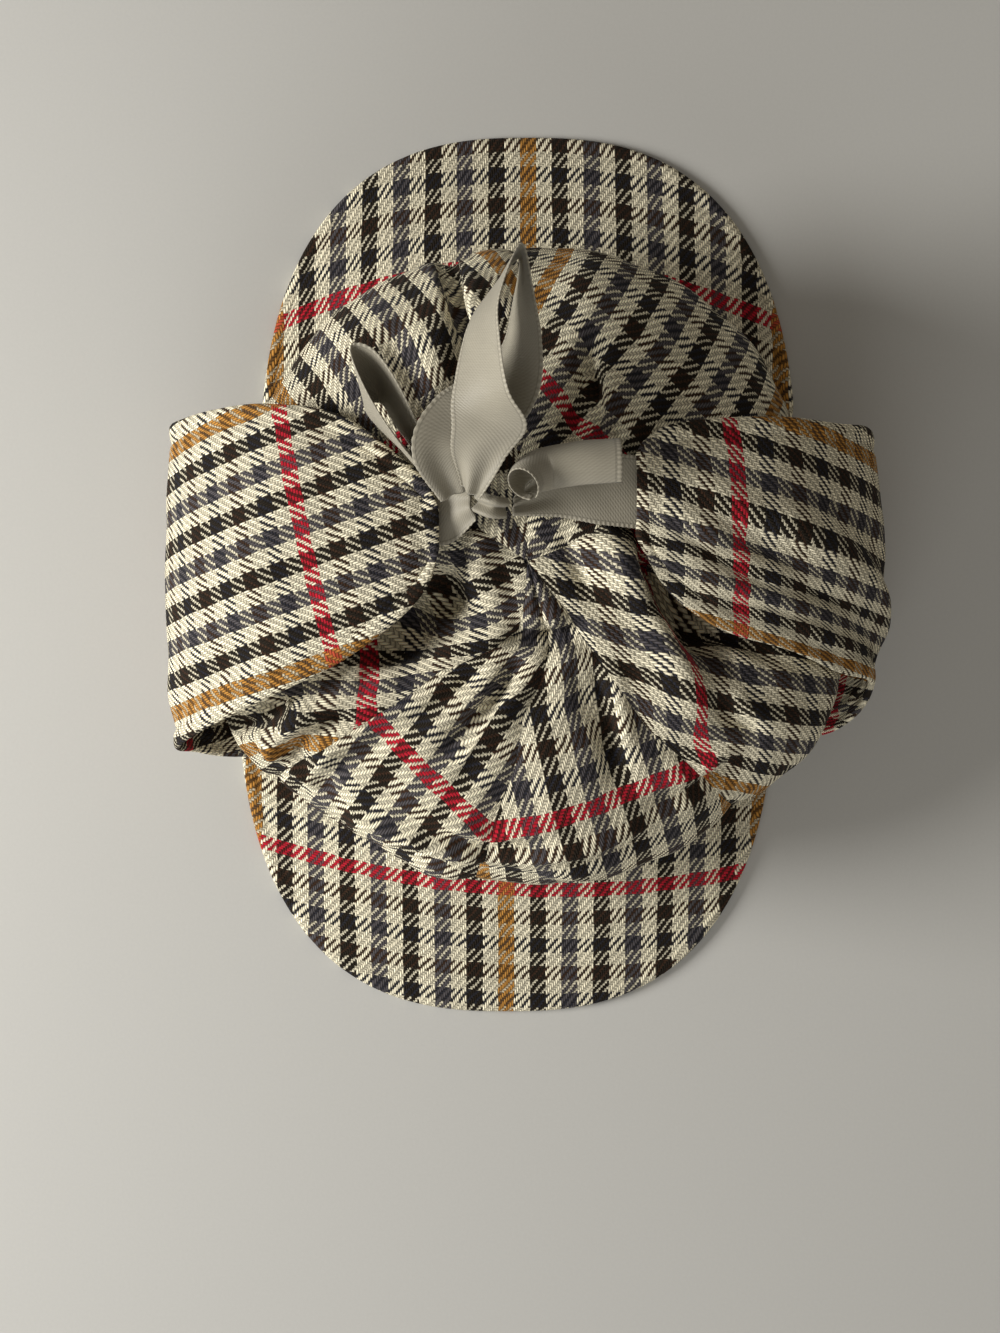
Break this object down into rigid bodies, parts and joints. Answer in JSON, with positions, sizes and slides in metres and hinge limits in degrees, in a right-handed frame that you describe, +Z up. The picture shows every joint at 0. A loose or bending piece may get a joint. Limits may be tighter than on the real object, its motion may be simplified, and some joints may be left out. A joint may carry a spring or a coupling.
{
  "type": "deerstalker hat",
  "caption": "Tweed deerstalker hat with front and back peaks, a soft panelled crown and ear flaps tied up over it with a ribbon bow.",
  "frame": {"origin": "on the surface that the hat rests on, in the middle of its length and width", "axes": "+Z up, -Y towards the front peak, +X towards the wearer's left as the hat lies"},
  "size_m": [0.2492, 0.3206, 0.1324],
  "materials": {
    "tweed": "2/2 twill wool tweed, a cream, black, brown and slate check with red and tan overcheck lines",
    "ribbon": "grosgrain ribbon with picot edges"
  },
  "bodies": {
    "root": {"crown_panel_1": "tweed", "crown_panel_2": "tweed", "crown_panel_3": "tweed", "crown_panel_4": "tweed", "crown_panel_5": "tweed", "crown_panel_6": "tweed", "front_peak": "tweed", "back_peak": "tweed", "left_ear_flap": "tweed", "right_ear_flap": "tweed", "bow_back_loop": "ribbon", "bow_left_loop": "ribbon", "bow_right_loop": "ribbon", "bow_knot": "ribbon", "left_ribbon": "ribbon", "right_ribbon": "ribbon"}
  },
  "joints": []
}
